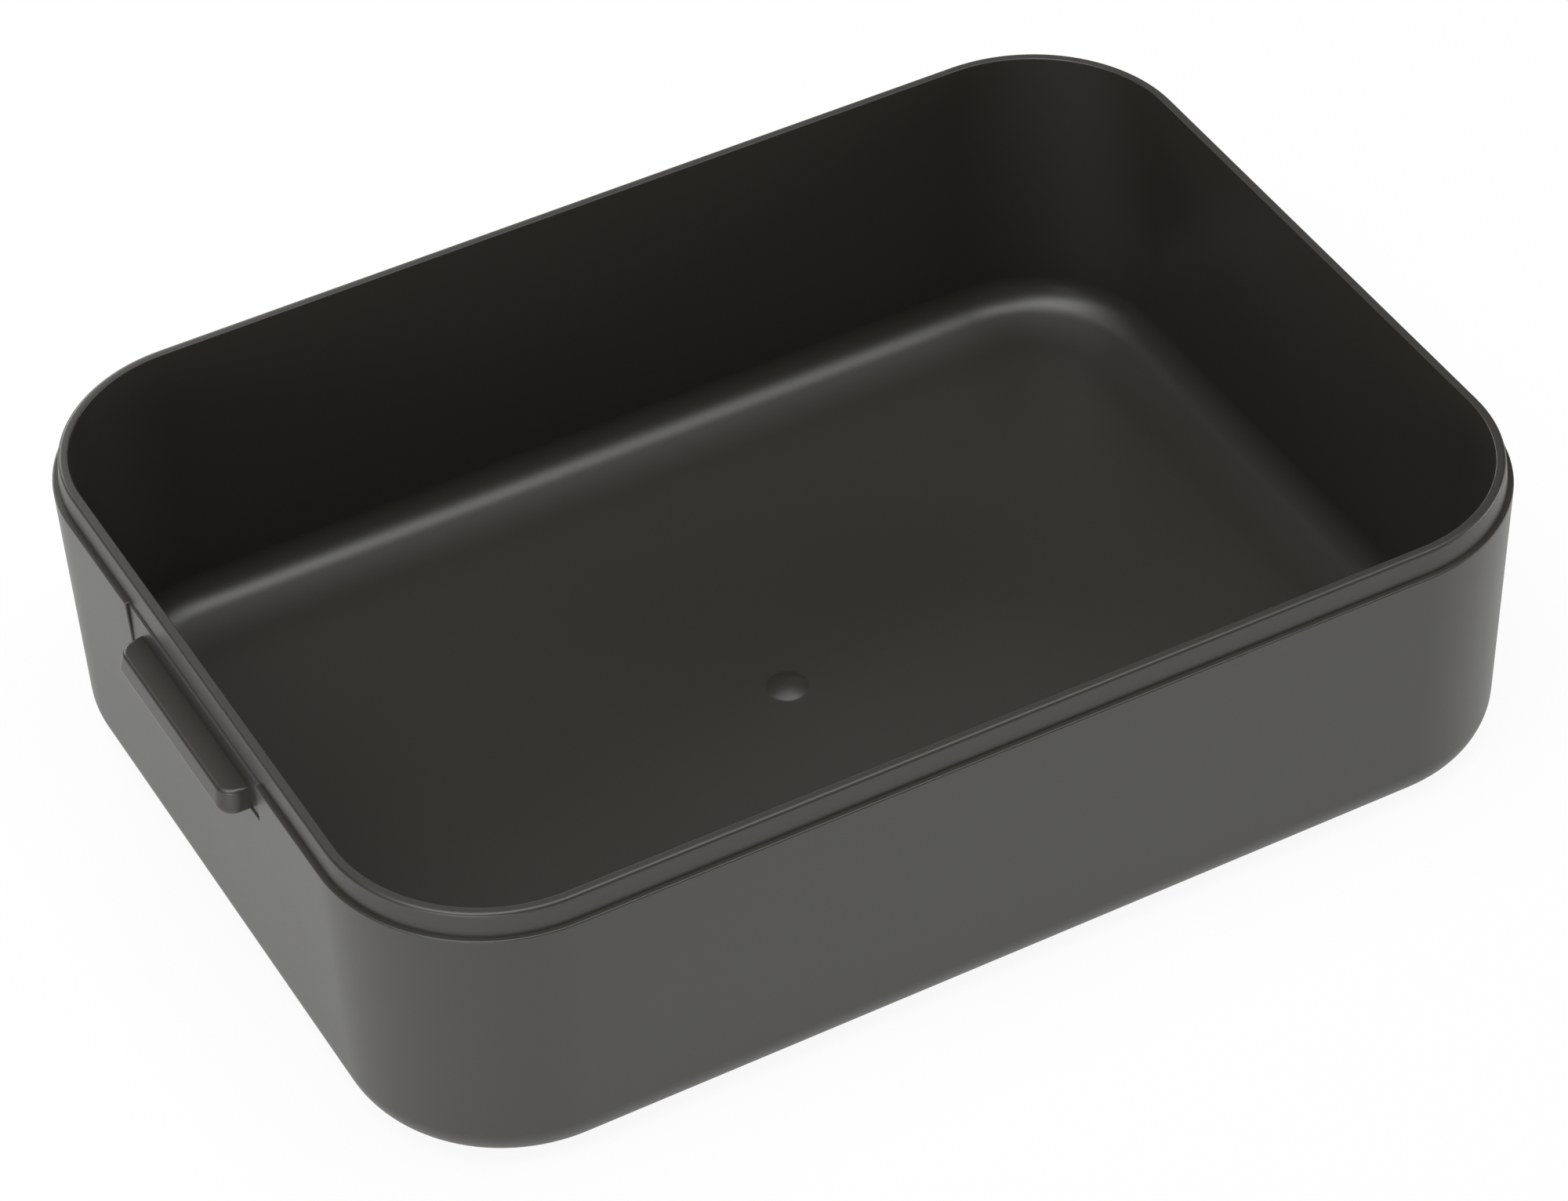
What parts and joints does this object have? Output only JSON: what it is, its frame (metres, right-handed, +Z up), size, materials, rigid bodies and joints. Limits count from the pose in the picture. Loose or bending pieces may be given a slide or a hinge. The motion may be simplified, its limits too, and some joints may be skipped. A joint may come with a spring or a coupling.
{
  "type": "lunch box base tray",
  "caption": "Open rectangular base tray of a lunch box in matt charcoal plastic, with rounded corners, a stepped collar for a lid and a catch lip on each end wall.",
  "frame": {"origin": "on the table, under the middle of the tray", "axes": "+X along the length towards the right end wall, +Y towards the far long wall, +Z up out of the tray's mouth"},
  "size_m": [0.2602, 0.1822, 0.0655],
  "materials": {
    "charcoal_plastic": "fine satin moulding texture"
  },
  "bodies": {
    "root": {"tray": "charcoal_plastic", "catch_lip_left": "charcoal_plastic", "catch_lip_right": "charcoal_plastic"}
  },
  "joints": []
}
